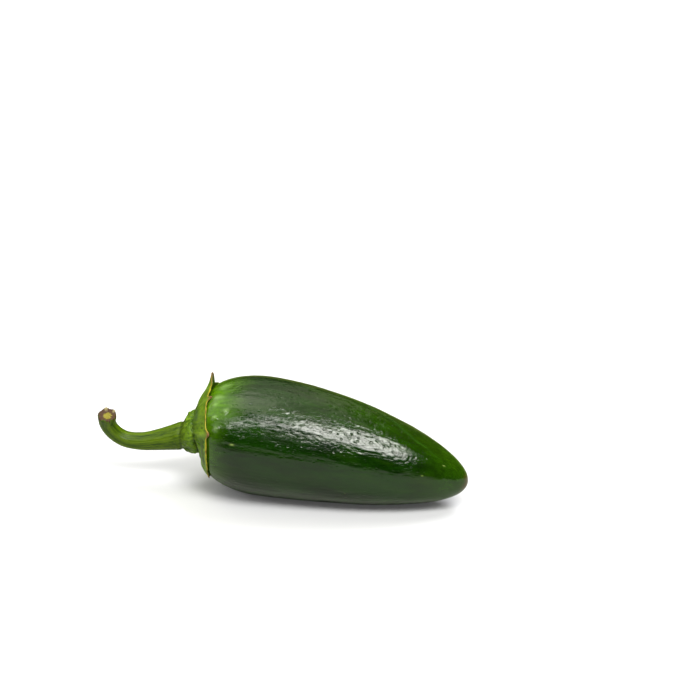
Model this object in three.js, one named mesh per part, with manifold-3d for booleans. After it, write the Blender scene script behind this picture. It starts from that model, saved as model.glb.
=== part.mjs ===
// A green chilli pepper of the jalapeno type, lying on its belly: its pod, and its calyx and stalk in one.
// Millimetres, +Z up. +X runs from the stalk to the tip and -Y is the side the stalk's end leans towards.
// The origin is in the small flat the pod rests on, under the centre of mass.
import * as THREE from "three";
import { mergeVertices } from "three/addons/utils/BufferGeometryUtils.js";
import Module from "manifold-3d";

const TURN = 360;
const toRadians = THREE.MathUtils.degToRad;
const { smoothstep, euclideanModulo } = THREE.MathUtils;
const vector = (x, y, z) => new THREE.Vector3(x, y, z);
const outlinePoint = (forward, radius) => new THREE.Vector2(forward, radius);

// Where the middle of the pod's stalk end stands, behind and above the origin.
const BASE = vector(-30.5, 0.1, 17.5);

// Pod: distances are measured forward from its stalk end, angles round it from -Y (0) over the top (90).
const POD_LENGTH = 78.1;
const POD_RADIUS = 17.4;
const WIDEST_AT = 18;
const SEAT_RADIUS = 11; // the nearly flat end under the calyx
const SEAT_DEPTH = 2.4;
const SEAT_DISH = 0.4;
const LOBES = { count: 3, height: 0.2, crestAt: 270 };
const FURROWS = { count: 5, depth: 0.35, crestAt: 40, rise: 3.4, length: 14 }; // creases on the shoulder
const SEAM = { at: 62, width: 9, height: 0.25, from: 30, to: 74 }; // one faint raised line towards the tip
const POD_SIDES = 64;
const SEAT_RINGS = 4;
const SHOULDER_RINGS = 13;
const BODY_RINGS = 30;

// Calyx: a thin saucer on the pod's shoulder with a toothed edge.
const GAP = 0.35; // clear space between the pod and the calyx
const EDGE = 0.65; // thickness of the blade
const EDGE_ROUNDING = 0.2;
// How far forward the edge lies: its mean, and waves with a crest on the -Y side, on top and on both sides.
const EDGE_FORWARD = { mean: 3.6, near: 0.55, top: 0.45, sides: 0.9 };
const STAND_OFF = { at: 100, width: 32, height: 0.9 }; // the upper edge stands clear of the shoulder
const SADDLE = { forward: 2.05, radius: 10.8 }; // where the underside leaves the flat end
const BLADE_SWELL = 0.3;
const VEIN = { width: 6, height: 0.4 }; // a low ridge runs out to each tooth
const TOOTH_WIDTH = 2.4;
const TOOTH_STEPS = [-4.5, -2.2, 0, 2.2, 4.5];
const EVEN_STEP = 7.5;
const CLOSEST_STEP = 1.6;
const TEETH = [
  { at: 23, forward: 0.5, out: 0.1 },
  { at: 66, forward: 1.5, out: 0.3 },
  { at: 103, forward: -0.2, out: 3.4 },
  { at: 148, forward: 0.6, out: 0.2 },
  { at: 200, forward: 0.6, out: 0.2 },
  { at: 257, forward: 0.6, out: 0.2 },
  { at: 316, forward: -0.1, out: 0.1 },
];

// Stalk: points of its middle line from the base, and [fraction of that line, radius] along it.
const STALK_LINE = [
  vector(-1.1, 0, -0.5),
  vector(-6, -0.3, -2.1),
  vector(-13, -1.1, -3.9),
  vector(-18.6, -1.8, -4.7),
  vector(-23.4, -2.4, -4.1),
  vector(-26.5, -3.1, -1.8),
  vector(-28, -4, 1.4),
  vector(-27.7, -5, 4.6),
];
const STALK_RADII = [
  [0, 6.1], [0.035, 6.5], [0.075, 6.2], [0.115, 5.3], [0.14, 4.25], [0.155, 3.9], [0.175, 4.15], [0.23, 3.85],
  [0.3, 3.5], [0.38, 3.15], [0.46, 2.85], [0.54, 2.65], [0.61, 2.5], [0.68, 2.4], [0.75, 2.35], [0.81, 2.35],
  [0.87, 2.4], [0.92, 2.5], [0.96, 2.65], [0.985, 2.75], [1, 2.55],
];
const RIBS = { count: 6, height: 0.17, from: 0.15, to: 0.35 };
// How far each ring turns from square to the pod (0) to square to the stalk (1), by fraction along the stalk.
const RING_TURNS = [[0, 0.7], [0.07, 0.6], [0.14, 0.05], [0.18, 0.1], [0.36, 1]];
const KNOBS = { angles: [140, 205], height: 0.5, width: 16 }; // crumbs on the torn rim
const END_FACE = { radius: 1.7, dish: 0.35 };
const RIM_FROM = 0.96; // fraction of the stalk where the torn rim starts to rise

// A smooth bump that is 1 where angle is middle; all three are degrees.
function bump(angle, middle, width) {
  const apart = euclideanModulo(angle - middle + TURN / 2, TURN) - TURN / 2;
  return Math.exp(-((apart / width) ** 2));
}

// The value at x on straight lines between rows of [x, value].
function alongRows(rows, x) {
  const next = rows.findIndex((row) => row[0] >= x);
  if (next < 1) return rows[next < 0 ? rows.length - 1 : 0][1];
  const [x0, y0] = rows[next - 1];
  const [x1, y1] = rows[next];
  return y0 + ((y1 - y0) * (x - x0)) / (x1 - x0);
}

// The two directions across a line with this forward tangent: towards -Y, and upwards.
function across(forwardTangent) {
  const near = vector(0, -1, 0);
  near.addScaledVector(forwardTangent, -near.dot(forwardTangent)).normalize();
  return { near, up: vector().crossVectors(near, forwardTangent) };
}

function around(centre, directions, degrees, radius) {
  const angle = toRadians(degrees);
  return centre
    .clone()
    .addScaledVector(directions.near, radius * Math.cos(angle))
    .addScaledVector(directions.up, radius * Math.sin(angle));
}

// A closed surface through rings of equally many points, from the first pole to the last.
function closedLoft(firstPole, rings, lastPole) {
  const sides = rings[0].length;
  const points = [firstPole, ...rings.flat(), lastPole];
  const indices = [];
  const at = (ring, side) => 1 + ring * sides + (side % sides);
  for (let side = 0; side < sides; side++) {
    indices.push(0, at(0, side), at(0, side + 1));
    indices.push(points.length - 1, at(rings.length - 1, side + 1), at(rings.length - 1, side));
    for (let ring = 0; ring < rings.length - 1; ring++) {
      indices.push(at(ring, side), at(ring + 1, side + 1), at(ring, side + 1));
      indices.push(at(ring, side), at(ring + 1, side), at(ring + 1, side + 1));
    }
  }
  return new THREE.BufferGeometry().setFromPoints(points).setIndex(indices);
}

// The pod's middle line and the outline that is turned round it.
const podLine = new THREE.CubicBezierCurve3(
  vector(0, 0, 0),
  vector(POD_LENGTH / 3, 0, 1.5),
  vector((2 * POD_LENGTH) / 3, -0.8, -3.7),
  vector(POD_LENGTH, 0.7, -9.6),
);
const seatMiddle = SEAT_DEPTH - SEAT_DISH;
const seat = new THREE.LineCurve(outlinePoint(seatMiddle, 0), outlinePoint(SEAT_DEPTH, SEAT_RADIUS));
const shoulder = new THREE.CubicBezierCurve(
  outlinePoint(SEAT_DEPTH, SEAT_RADIUS),
  outlinePoint(SEAT_DEPTH, 15),
  outlinePoint(10.9, POD_RADIUS),
  outlinePoint(WIDEST_AT, POD_RADIUS),
);
const body = new THREE.CubicBezierCurve(
  outlinePoint(WIDEST_AT, POD_RADIUS),
  outlinePoint(WIDEST_AT + 22, POD_RADIUS),
  outlinePoint(POD_LENGTH, 10),
  outlinePoint(POD_LENGTH, 0),
);

// The point `radius` out from the pod's middle line, `forward` along it.
function podPoint(forward, radius, degrees) {
  const along = forward / POD_LENGTH;
  return around(podLine.getPoint(along).add(BASE), across(podLine.getTangent(along)), degrees, radius);
}

// The outline's radius with the lobes, the shoulder's creases and the seam added.
function podRadius(outline, degrees) {
  const forward = outline.x;
  const lobes = LOBES.height * Math.cos(toRadians(LOBES.count * (degrees - LOBES.crestAt)));
  const lobeShare = smoothstep(forward, SEAT_DEPTH, WIDEST_AT) * (1 - forward / POD_LENGTH);
  const creaseTurn = toRadians(FURROWS.count * (degrees - FURROWS.crestAt));
  const creases = (FURROWS.depth / 2) * (Math.cos(creaseTurn) - 1);
  const pastCalyx = smoothstep(outline.y, SEAT_RADIUS, SEAT_RADIUS + FURROWS.rise);
  const creaseShare = pastCalyx * (1 - smoothstep(forward, SEAT_DEPTH, FURROWS.length));
  const middle = (SEAM.from + SEAM.to) / 2;
  const seamShare = smoothstep(forward, SEAM.from, middle) * (1 - smoothstep(forward, middle, SEAM.to));
  const seam = SEAM.height * bump(degrees, SEAM.at, SEAM.width) * seamShare;
  return outline.y + lobes * lobeShare + creases * creaseShare + seam;
}

const stepsAlong = (curve, steps) => curve.getPoints(steps).slice(1);
const podOutline = [
  ...stepsAlong(seat, SEAT_RINGS),
  ...stepsAlong(shoulder, SHOULDER_RINGS),
  ...stepsAlong(body, BODY_RINGS).slice(0, -1),
];
const podRings = podOutline.map((outline) =>
  Array.from({ length: POD_SIDES }, (_, side) => {
    const degrees = (side * TURN) / POD_SIDES;
    return podPoint(outline.x, podRadius(outline, degrees), degrees);
  }),
);
const wholePod = closedLoft(podPoint(seatMiddle, 0, 0), podRings, podPoint(POD_LENGTH, 0, 0));

// The shoulder moved out by the gap, as rows of [forward, radius], which the calyx's underside stays outside.
const CLEARANCE_STEPS = 40;
const clearance = Array.from({ length: CLEARANCE_STEPS + 1 }, (_, i) => {
  const on = shoulder.getPoint(i / CLEARANCE_STEPS);
  const tangent = shoulder.getTangent(i / CLEARANCE_STEPS);
  return [on.x - GAP * tangent.y, on.y + GAP * tangent.x];
});

// The inner edge of the calyx blade at one angle, with a share of each tooth's reach.
function innerEdge(degrees, toothShare) {
  const angle = toRadians(degrees);
  let forward = EDGE_FORWARD.mean + EDGE_FORWARD.near * Math.cos(angle);
  forward += EDGE_FORWARD.top * Math.sin(angle) + EDGE_FORWARD.sides * Math.cos(2 * angle);
  let out = STAND_OFF.height * bump(degrees, STAND_OFF.at, STAND_OFF.width);
  for (const tooth of TEETH) {
    const share = toothShare * bump(degrees, tooth.at, TOOTH_WIDTH);
    forward += tooth.forward * share;
    out += tooth.out * share;
  }
  return outlinePoint(forward, alongRows(clearance, forward) + out);
}

// The blade's underside, a share of the way from the saddle to the edge.
function undersidePoint(degrees, share) {
  const at = outlinePoint(SADDLE.forward, SADDLE.radius).lerp(innerEdge(degrees, share ** 4), share);
  return outlinePoint(at.x, Math.max(at.y, alongRows(clearance, at.x)));
}

// The direction square to the blade at one angle, away from the pod.
function bladeNormal(degrees) {
  const run = innerEdge(degrees, 0).sub(outlinePoint(SADDLE.forward, SADDLE.radius)).normalize();
  return outlinePoint(-run.y, run.x);
}

// A point of the blade's rounded rim; lift 0 is its inner edge and 1 its outer one.
function rimPoint(degrees, lift, toothShare) {
  const normal = bladeNormal(degrees);
  const rounding = EDGE_ROUNDING * (1 - (2 * lift - 1) ** 2);
  return innerEdge(degrees, toothShare)
    .addScaledVector(normal, EDGE * lift)
    .add(outlinePoint(normal.y, -normal.x).multiplyScalar(rounding));
}

const stalkCurve = new THREE.CatmullRomCurve3(STALK_LINE.map((at) => at.clone().add(BASE)));
const calyxAxis = podLine.getTangent(0);

// A point of the stalk at a fraction of its length.
function stalkPoint(fraction, degrees, radius) {
  const backwards = stalkCurve.getTangentAt(fraction).negate();
  const forward = calyxAxis.clone().lerp(backwards, alongRows(RING_TURNS, fraction)).normalize();
  return around(stalkCurve.getPointAt(fraction), across(forward), degrees, radius);
}

function stalkRadius(fraction, degrees) {
  const ribShare = smoothstep(fraction, RIBS.from, RIBS.to);
  const ribs = RIBS.height * Math.cos(toRadians(RIBS.count * (degrees - TEETH[0].at)));
  return alongRows(STALK_RADII, fraction) + ribs * ribShare;
}

// The calyx's outer face, a share of the way from the edge to the groove where the stalk's foot begins.
function outerFacePoint(degrees, share) {
  const edge = rimPoint(degrees, 1, (1 - share) ** 6);
  const from = podPoint(edge.x, edge.y, degrees);
  const to = stalkPoint(0, degrees, stalkRadius(0, degrees));
  const normal = bladeNormal(degrees);
  const vein = TEETH.reduce((sum, tooth) => sum + bump(degrees, tooth.at, VEIN.width), 0);
  const lift = Math.sin(Math.PI * share) * (BLADE_SWELL + VEIN.height * vein);
  const outward = around(vector(0, 0, 0), across(calyxAxis), degrees, normal.y);
  outward.addScaledVector(calyxAxis, normal.x);
  return from.lerp(to, share).addScaledVector(outward, lift);
}

// Degrees at which the calyx and stalk are drawn: even steps, and close ones at each tooth.
const toothAngles = TEETH.flatMap((tooth) => TOOTH_STEPS.map((step) => tooth.at + step));
const evenAngles = Array.from({ length: TURN / EVEN_STEP }, (_, i) => i * EVEN_STEP).filter((angle) =>
  toothAngles.every((other) => Math.abs(angle - other) > CLOSEST_STEP),
);
const calyxAngles = [...toothAngles, ...evenAngles].sort((a, b) => a - b);
const ringOf = (pointAt) => calyxAngles.map(pointAt);
const onPod = (at, degrees) => podPoint(at.x, at.y, degrees);

const seatRings = [0.35, 0.7].map((share) =>
  ringOf((degrees) => {
    const on = seat.getPoint(share);
    return podPoint(on.x - GAP, on.y, degrees);
  }),
);
const undersideRings = [0, 0.33, 0.67].map((share) =>
  ringOf((degrees) => onPod(undersidePoint(degrees, share), degrees)),
);
const rimRings = [0, 0.5, 1].map((lift) => ringOf((degrees) => onPod(rimPoint(degrees, lift, 1), degrees)));
const faceRings = [0.2, 0.4, 0.6, 0.8].map((share) => ringOf((degrees) => outerFacePoint(degrees, share)));
const endDirection = stalkCurve.getTangentAt(1);
const stalkRings = STALK_RADII.map(([fraction]) =>
  ringOf((degrees) => {
    const at = stalkPoint(fraction, degrees, stalkRadius(fraction, degrees));
    const knob = KNOBS.angles.reduce((sum, angle) => sum + bump(degrees, angle, KNOBS.width), 0);
    return at.addScaledVector(endDirection, KNOBS.height * knob * smoothstep(fraction, RIM_FROM, 1));
  }),
);
const endFacePoint = (degrees, radius) =>
  stalkPoint(1, degrees, radius).addScaledVector(endDirection, -END_FACE.dish);
const endRing = ringOf((degrees) => endFacePoint(degrees, END_FACE.radius));
const endCentre = endFacePoint(0, 0);

const bladeRings = [...seatRings, ...undersideRings, ...rimRings, ...faceRings];
const ringsFromEnd = [...bladeRings, ...stalkRings, endRing].reverse();
const calyxAndStalk = closedLoft(endCentre, ringsFromEnd, podPoint(seatMiddle - GAP, 0, 0));

// The flat the pod rests on: everything of the pod under z = 0 is cut away.
const wasm = await Module();
wasm.setup();
const solidOf = (geometry) =>
  new wasm.Manifold(
    new wasm.Mesh({
      numProp: 3,
      vertProperties: new Float32Array(geometry.getAttribute("position").array),
      triVerts: new Uint32Array(geometry.index.array),
    }),
  );
const FLOOR_BLOCK = 200;
const underFloor = new THREE.BoxGeometry(FLOOR_BLOCK, FLOOR_BLOCK, FLOOR_BLOCK);
underFloor.deleteAttribute("normal");
underFloor.deleteAttribute("uv");
underFloor.translate(0, 0, -FLOOR_BLOCK / 2);
const floored = solidOf(wholePod).subtract(solidOf(mergeVertices(underFloor))).getMesh();
const flooredPod = new THREE.BufferGeometry()
  .setAttribute("position", new THREE.BufferAttribute(floored.vertProperties, floored.numProp))
  .setIndex(new THREE.BufferAttribute(floored.triVerts, 1));

// A named piece with its own material.
function piece(name, geometry, color, roughness) {
  geometry.computeVertexNormals();
  const mesh = new THREE.Mesh(geometry, new THREE.MeshStandardMaterial({ color, roughness }));
  mesh.name = name;
  return mesh;
}

const pepper = new THREE.Group();
pepper.add(piece("pod", flooredPod, 0x1f5a12, 0.25));
pepper.add(piece("calyx_and_stalk", calyxAndStalk, 0x7a9a2a, 0.5));

export default pepper;
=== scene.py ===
"""A green chilli pepper of the jalapeno type, lying on its belly, in its final finish.

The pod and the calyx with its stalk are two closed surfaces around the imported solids: the same forms,
with the skin's relief, the calyx's veins and ragged edge and the torn end of the stalk added. Lengths in
the classes are millimetres, angles are degrees, and meshes are written in metres in the frame of the
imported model.
"""

import logging
import math
from dataclasses import asdict, dataclass, field
from enum import Enum

import bpy
import numpy as np
from mathutils import Matrix

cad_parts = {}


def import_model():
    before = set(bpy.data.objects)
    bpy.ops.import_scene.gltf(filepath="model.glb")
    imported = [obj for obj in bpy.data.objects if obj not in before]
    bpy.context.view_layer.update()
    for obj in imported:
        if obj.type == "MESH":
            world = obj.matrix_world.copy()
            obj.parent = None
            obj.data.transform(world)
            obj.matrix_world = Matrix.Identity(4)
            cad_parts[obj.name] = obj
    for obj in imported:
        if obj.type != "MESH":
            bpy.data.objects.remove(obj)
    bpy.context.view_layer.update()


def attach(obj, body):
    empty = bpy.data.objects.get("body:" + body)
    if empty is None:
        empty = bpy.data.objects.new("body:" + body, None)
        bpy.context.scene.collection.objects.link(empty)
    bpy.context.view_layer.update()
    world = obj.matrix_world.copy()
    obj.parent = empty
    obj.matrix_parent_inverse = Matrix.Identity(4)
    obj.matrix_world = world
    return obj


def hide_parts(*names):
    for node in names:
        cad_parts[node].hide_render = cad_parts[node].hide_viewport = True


LOG = logging.getLogger("chilli_pepper")
MM = 0.001
TURN = 360.0
BASE = np.array([-30.5, 0.1, 17.5])
NEAR_SIDE = np.array([0.0, -1.0, 0.0])

Array = np.ndarray
Socket = bpy.types.NodeSocket
Inputs = dict[str | int, object]


class Mask(str, Enum):
    """Names of the point attributes that the finishes read."""

    SKIN = "skin_position"
    # Paler shoulder and tip, with a painted light along the top.
    PALE = "pale"
    SCAR = "scar"
    # Painted highlight along the pod's fine seam.
    SEAM = "seam"
    RELIEF = "relief_share"
    FLECK = "fleck"
    EDGE = "edge"
    TOOTH = "tooth"
    VEIN = "vein"
    # Painted shade in creases, under the calyx's blade and on its lower side.
    GROOVE = "groove"
    STALK = "stalk"
    RIB = "rib"
    TORN = "torn"
    PITH = "pith"
    # On the pod, the knobs' paleness is partly a painted glint.
    KNOB = "knob"


class Slot(str, Enum):
    """The record's material slots."""

    POD = "pod_skin"
    STALK = "stalk_green"


def smoothstep(values: Array, low: float, high: float) -> Array:
    """Smooth rise from 0 at low to 1 at high.

    Args:
        values: Where to read the curve.
        low: The last value that gives 0.
        high: The first value that gives 1.

    Returns:
        3t^2 - 2t^3 of the clipped share t of the way from low to high.
    """
    share = np.clip((values - low) / (high - low), 0.0, 1.0)
    return share * share * (3.0 - 2.0 * share)


def turned_from(degrees: Array, middle: float) -> Array:
    """The angle from middle to each of the angles, the shorter way round."""
    return (degrees - middle + TURN / 2) % TURN - TURN / 2


def bump(degrees: Array, middle: float, width: float, power: float = 2.0) -> Array:
    """A bell round the turn: exp(-|d / width|^power), with d the shorter way round from middle."""
    return np.exp(-(np.abs(turned_from(degrees, middle) / width) ** power))


def unit(vectors: Array) -> Array:
    """The vectors scaled to length 1 along the last axis."""
    return vectors / np.linalg.norm(vectors, axis=-1, keepdims=True)


def bezier(points: Array, shares: Array) -> Array:
    """A cubic Bezier curve.

    Args:
        points: The four control points, one a row.
        shares: Parameters from 0 to 1.

    Returns:
        One row for each share: the control points weighed by the cubic Bernstein polynomials.
    """
    t = np.asarray(shares, float)[..., None]
    weights = ((1 - t) ** 3, 3 * (1 - t) ** 2 * t, 3 * (1 - t) * t**2, t**3)
    return sum(weight * point for weight, point in zip(weights, points))


def bezier_tangent(points: Array, shares: Array) -> Array:
    """The unit tangent of that cubic Bezier curve.

    Args:
        points: The four control points, one a row.
        shares: Parameters from 0 to 1.

    Returns:
        Its derivative at each share, scaled to length 1.
    """
    t = np.asarray(shares, float)[..., None]
    steps = np.diff(points, axis=0)
    weights = ((1 - t) ** 2, 2 * (1 - t) * t, t**2)
    return unit(sum(weight * step for weight, step in zip(weights, steps)))


def even_steps(points: Array, count: int) -> Array:
    """A line through the points, read again at evenly spaced distances.

    Args:
        points: Rows of the line.
        count: How many rows to give back, both ends among them.

    Returns:
        The new rows, each column interpolated on the distance run so far.
    """
    run = np.concatenate([[0.0], np.cumsum(np.linalg.norm(np.diff(points, axis=0), axis=1))])
    wanted = np.linspace(0.0, run[-1], count)
    return np.stack([np.interp(wanted, run, column) for column in points.T], axis=-1)


def through_rows(rows: Array, places: Array) -> Array:
    """A smooth curve through rows of (place, value).

    Args:
        rows: Pairs in rising order of place.
        places: Where to read the curve.

    Returns:
        The cubic Hermite curve whose slope at each row is the mean of the slopes of the chords beside it.
    """
    x, y = np.asarray(rows, float).T
    chords = np.diff(y) / np.diff(x)
    slopes = np.concatenate([[chords[0]], (chords[1:] + chords[:-1]) / 2, [chords[-1]]])
    at = np.clip(np.asarray(places, float), x[0], x[-1])
    i = np.clip(np.searchsorted(x, at, side="right") - 1, 0, len(x) - 2)
    span = x[i + 1] - x[i]
    t = (at - x[i]) / span
    rise = (2 * t**3 - 3 * t**2 + 1) * y[i] + (3 * t**2 - 2 * t**3) * y[i + 1]
    return rise + span * ((t**3 - 2 * t**2 + t) * slopes[i] + (t**3 - t**2) * slopes[i + 1])


def across(tangents: Array) -> tuple[Array, Array]:
    """The two directions across a line.

    Args:
        tangents: Unit tangents of the line.

    Returns:
        The direction towards the near side with its share along the tangent taken off, and the cross
        product of that direction with the tangent, which points up.
    """
    near = unit(NEAR_SIDE - tangents * (tangents @ NEAR_SIDE)[..., None])
    return near, np.cross(near, tangents)


def around(centres: Array, directions: tuple[Array, Array], degrees: Array, radii: Array) -> Array:
    """Points round a line.

    Args:
        centres: The line's points.
        directions: The directions towards the near side and up, across the line.
        degrees: Angle of each point, counted from the near side.
        radii: Its distance from the line.

    Returns:
        centre + radius * (near * cosine + up * sine) of the angle.
    """
    near, up = directions
    angle = np.radians(degrees)
    return centres + near * (radii * np.cos(angle))[..., None] + up * (radii * np.sin(angle))[..., None]


def surface_normals(points: Array, centres: Array) -> Array:
    """Outward unit normals of a grid of rings by sides.

    Args:
        points: Grid of points, closed round the second axis.
        centres: A point inside the form for each grid point.

    Returns:
        The cross product of the differences along both axes, turned away from the centres.
    """
    along = np.gradient(points, axis=0)
    turning = np.roll(points, -1, axis=1) - np.roll(points, 1, axis=1)
    normals = unit(np.cross(along, turning) + 1e-12)
    outward = np.sign(np.sum(normals * (points - centres), axis=-1, keepdims=True))
    return normals * np.where(outward == 0, 1.0, outward)


class Lattice:
    """Seeded random numbers on a cubic lattice, which repeats, for smooth noise and scattered spots."""

    SIZE = 32

    def __init__(self, seed: int) -> None:
        """Draws the lattice's values, then its jittered spots.

        Args:
            seed: The seed of both draws.
        """
        draws = np.random.default_rng(seed)
        self.values = draws.uniform(-1.0, 1.0, (self.SIZE,) * 3)
        self.jitter = draws.uniform(0.0, 1.0, (self.SIZE,) * 3 + (3,))

    def _index(self, cells: Array) -> tuple[Array, Array, Array]:
        """The lattice's three indices of each cell, wrapped round."""
        wrapped = cells % self.SIZE
        return wrapped[..., 0], wrapped[..., 1], wrapped[..., 2]

    def noise(self, points: Array) -> Array:
        """Smooth noise from -1 to 1.

        Args:
            points: Positions, counted in lattice cells.

        Returns:
            The eight corner values of each cell, blended by the quintic 6t^5 - 15t^4 + 10t^3 along each axis.
        """
        cells = np.floor(points).astype(int)
        t = points - cells
        t = t * t * t * (t * (6 * t - 15) + 10)
        total = np.zeros(points.shape[:-1])
        for corner in np.ndindex(2, 2, 2):
            weight = np.prod(np.where(np.array(corner) == 1, t, 1 - t), axis=-1)
            total += weight * self.values[self._index(cells + np.array(corner))]
        return total

    def spots(self, points: Array) -> Array:
        """The distance to scattered spots, one jittered spot a cell.

        Args:
            points: Positions, counted in lattice cells.

        Returns:
            The distance from each point to the nearest spot, in cells.
        """
        cells = np.floor(points).astype(int)
        nearest = np.full(points.shape[:-1], 9.0)
        for step in np.ndindex(3, 3, 3):
            cell = cells + np.array(step) - 1
            spot = cell + self.jitter[self._index(cell)]
            nearest = np.minimum(nearest, np.linalg.norm(points - spot, axis=-1))
        return nearest


def put(name: str, data: bpy.types.ID) -> bpy.types.Object:
    """Puts a mesh, a light or a camera into the scene.

    Args:
        name: The object's name.
        data: What it shows.

    Returns:
        The new object, at the origin.
    """
    made = bpy.data.objects.new(name, data)
    bpy.context.scene.collection.objects.link(made)
    return made


@dataclass
class Loft:
    """Rings of equally many points between two poles, with a value of each mask at each point."""

    rings: Array
    first_pole: Array
    last_pole: Array
    masks: dict[Mask, Array]

    def _faces(self) -> tuple[Array, Array]:
        """Quads between neighbouring rings, and a fan of triangles round each pole.

        Returns:
            The corners of all faces in one row, and how many corners each face has.
        """
        ring_count, sides = self.rings.shape[:2]
        here = 1 + np.arange(ring_count * sides).reshape(ring_count, sides)
        after = np.roll(here, -1, axis=1)
        quads = np.stack([here[:-1], here[1:], after[1:], after[:-1]], axis=-1)
        first_fan = np.stack([np.zeros_like(here[0]), here[0], after[0]], axis=-1)
        last_fan = np.stack([np.full(sides, 1 + here.size), after[-1], here[-1]], axis=-1)
        corners = np.concatenate([quads.reshape(-1), first_fan.reshape(-1), last_fan.reshape(-1)])
        counts = np.concatenate([np.full(quads.size // 4, 4), np.full(2 * sides, 3)])
        return corners, counts

    def to_object(self, name: str) -> bpy.types.Object:
        """Writes the loft as a smooth closed mesh.

        Args:
            name: The object's and the mesh's name.

        Returns:
            The linked object, at the origin, with the masks as point attributes.
        """
        points = np.concatenate([self.first_pole[None], self.rings.reshape(-1, 3), self.last_pole[None]])
        corners, counts = self._faces()
        mesh = bpy.data.meshes.new(name)
        mesh.vertices.add(len(points))
        mesh.vertices.foreach_set("co", (points * MM).astype(np.float32).ravel())
        mesh.loops.add(len(corners))
        mesh.loops.foreach_set("vertex_index", corners.astype(np.int32))
        mesh.polygons.add(len(counts))
        starts = np.concatenate([[0], np.cumsum(counts)[:-1]])
        mesh.polygons.foreach_set("loop_start", starts.astype(np.int32))
        mesh.polygons.foreach_set("use_smooth", np.ones(len(counts), bool))
        mesh.update(calc_edges=True)
        mesh.validate()
        for mask, values in self.masks.items():
            self._write_mask(mesh, mask, values)
        return put(name, mesh)

    def _write_mask(self, mesh: bpy.types.Mesh, mask: Mask, values: Array) -> None:
        """Writes one mask, with each pole taking the mean of the ring beside it.

        Args:
            mesh: The mesh to write to.
            mask: The attribute.
            values: Its values, or vectors, by ring and side.
        """
        first, last = (ring.mean(axis=0, keepdims=True) for ring in (values[0], values[-1]))
        flat = values.reshape((-1,) + values.shape[2:])
        rows = np.concatenate([first, flat, last]).astype(np.float32)
        kind, key = ("FLOAT_VECTOR", "vector") if values.ndim == 3 else ("FLOAT", "value")
        mesh.attributes.new(mask.value, kind, "POINT").data.foreach_set(key, rows.ravel())


class Graph:
    """A short way to place and wire shader nodes in one tree."""

    def __init__(self, tree: bpy.types.NodeTree) -> None:
        """Starts on a tree that is already there."""
        self.tree = tree

    def node(self, kind: str, inputs: Inputs | None = None, **settings: object) -> bpy.types.Node:
        """Adds a node.

        Args:
            kind: The node's type name without its ShaderNode beginning.
            inputs: Values or sockets for the node's inputs, by name or number.
            **settings: Properties of the node.

        Returns:
            The new node.
        """
        made = self.tree.nodes.new(kind if kind.startswith("Node") else "ShaderNode" + kind)
        for key, value in settings.items():
            setattr(made, key, value)
        for key, value in (inputs or {}).items():
            if isinstance(value, Socket):
                self.tree.links.new(value, made.inputs[key])
            else:
                made.inputs[key].default_value = value
        return made

    def attribute(self, mask: Mask) -> Socket:
        """The value of a point attribute, or its vector."""
        made = self.node("Attribute", attribute_name=mask.value)
        return made.outputs["Vector" if mask is Mask.SKIN else "Fac"]

    def math(self, operation: str, *values: object) -> Socket:
        """One arithmetic step on one to three values or sockets, clamped to nothing."""
        return self.node("Math", dict(enumerate(values)), operation=operation).outputs[0]

    def rise(self, value: object, low: object, high: object) -> Socket:
        """Smooth rise of a value from 0 at low to 1 at high."""
        inputs = {"Value": value, "From Min": low, "From Max": high}
        return self.node("MapRange", inputs, interpolation_type="SMOOTHSTEP").outputs[0]

    def mix(self, share: object, first: object, second: object) -> Socket:
        """Two colours mixed by a share."""
        return self.node("Mix", {0: share, 6: first, 7: second}, data_type="RGBA").outputs[2]

    def surface(self, inputs: Inputs) -> None:
        """Ends a material with a Principled shader of these inputs."""
        shader = self.node("BsdfPrincipled", inputs)
        self.node("OutputMaterial", {"Surface": shader.outputs[0]})


def linear(red: int, green: int, blue: int) -> tuple[float, float, float, float]:
    """A display colour of three numbers up to 255 as linear light, by the display's own curve."""
    shares = [c / 255 for c in (red, green, blue)]
    return (*(c / 12.92 if c <= 0.04045 else ((c + 0.055) / 1.055) ** 2.4 for c in shares), 1.0)


@dataclass(frozen=True)
class Grain:
    """Drawn-out noise: the length of its swings along and across the fruit, its detail and its wobble."""

    along: float
    across: float
    detail: float = 2.0
    wobble: float = 0.4


@dataclass(frozen=True)
class Flecks:
    """Scattered spots: their spacing, their size in cells, the share of cells with one and their stretch."""

    spacing: float
    size: float
    share: float
    stretch: float = 1.0


def socket_values(look: Grain | Flecks) -> dict[str, float]:
    """A look's numbers by the names of the sockets that take them."""
    return {key.title(): value for key, value in asdict(look).items()}


def new_group(name: str, look: Grain | Flecks, output: str) -> tuple:
    """An empty shader node group that takes a position and a look's numbers.

    Args:
        name: The group's name.
        look: The look whose fields name the number sockets and give their first values.
        output: The name of its one output.

    Returns:
        The tree, its graph, its input node and its output node.
    """
    tree = bpy.data.node_groups.new(name, "ShaderNodeTree")
    tree.interface.new_socket("Position", in_out="INPUT", socket_type="NodeSocketVector")
    for key, value in socket_values(look).items():
        socket = tree.interface.new_socket(key, in_out="INPUT", socket_type="NodeSocketFloat")
        socket.default_value = value
    tree.interface.new_socket(output, in_out="OUTPUT", socket_type="NodeSocketFloat")
    graph = Graph(tree)
    return tree, graph, graph.node("NodeGroupInput"), graph.node("NodeGroupOutput")


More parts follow.
